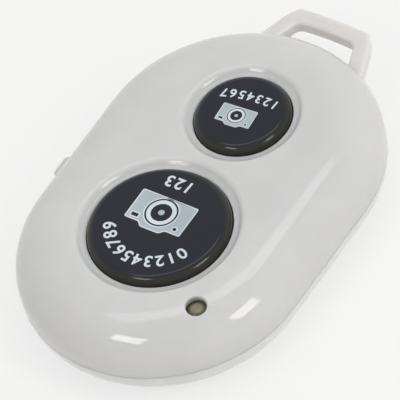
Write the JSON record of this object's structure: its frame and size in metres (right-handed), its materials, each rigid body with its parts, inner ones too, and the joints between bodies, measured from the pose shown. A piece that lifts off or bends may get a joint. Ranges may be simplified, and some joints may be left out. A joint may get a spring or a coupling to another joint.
{
  "type": "bluetooth selfie remote",
  "caption": "Pocket wireless shutter remote: rounded two-part white shell, round push buttons, side slide switch, status light, sliding battery door and lanyard loop.",
  "frame": {"origin": "centre of the flat rear face", "axes": "+Y along the housing towards the lanyard loop, +Z out of the button face, +X towards the side with the status light"},
  "size_m": [0.035, 0.0536, 0.011],
  "materials": {
    "white_shell": "glossy moulded plastic, white",
    "white_knob": "moulded plastic, white",
    "black_cap": "glossy moulded plastic, blue-black",
    "print_ink": "pale printed ink of the marks on the caps",
    "smoked_lens": "tinted light pipe",
    "light_package": "light package",
    "board_green": "solder mask over glass fibre board",
    "copper": "copper foil",
    "chip_black": "chip package",
    "steel": "plain steel",
    "ceramic_tan": "ceramic",
    "spring_brass": "spring brass",
    "gasket_plastic": "gasket",
    "screw_steel": "plated screw",
    "switch_plastic": "switch plastic"
  },
  "bodies": {
    "housing": {"front_shell": "white_shell", "rear_shell": "white_shell", "led_lens": "smoked_lens", "led_chip": "light_package", "circuit_board": "board_green", "antenna_trace": "copper", "bluetooth_chip": "chip_black", "memory_chip": "chip_black", "crystal": "steel", "chip_capacitors": "ceramic_tan", "chip_resistors": "chip_black", "positive_contact": "spring_brass", "negative_contact": "spring_brass", "coin_cell_can": "steel", "coin_cell_gasket": "gasket_plastic", "coin_cell_cap": "steel", "case_screws": "screw_steel", "slide_switch_case": "steel", "slide_switch_base": "switch_plastic", "slide_switch_terminals": "spring_brass", "large_switch_base": "switch_plastic", "large_switch_terminals": "spring_brass", "large_switch_dome": "steel", "large_switch_cover": "steel", "small_switch_base": "switch_plastic", "small_switch_terminals": "spring_brass", "small_switch_dome": "steel", "small_switch_cover": "steel"},
    "large_button": {"large_button_cap": "black_cap", "large_switch_plunger": "switch_plastic"},
    "small_button": {"small_button_cap": "black_cap", "small_switch_plunger": "switch_plastic"},
    "power_switch": {"power_switch_knob": "white_knob", "slide_switch_lever": "switch_plastic"},
    "battery_door": {"battery_door": "white_shell"}
  },
  "joints": [
    {"name": "large_button_press", "type": "slide", "parent": "housing", "child": "large_button", "axis": [0, 0, -1], "range_m": [0, 0.0004], "stiffness_N_per_m": 3000, "deforming": ["large_switch_dome"]},
    {"name": "small_button_press", "type": "slide", "parent": "housing", "child": "small_button", "axis": [0, 0, -1], "range_m": [0, 0.0004], "stiffness_N_per_m": 3000, "deforming": ["small_switch_dome"]},
    {"name": "power_switch_slide", "type": "slide", "parent": "housing", "child": "power_switch", "axis": [0, 1, 0], "range_m": [0, 0.002]},
    {"name": "battery_door_slide", "type": "slide", "parent": "housing", "child": "battery_door", "axis": [0, -1, 0], "range_m": [0, 0.038]}
  ]
}
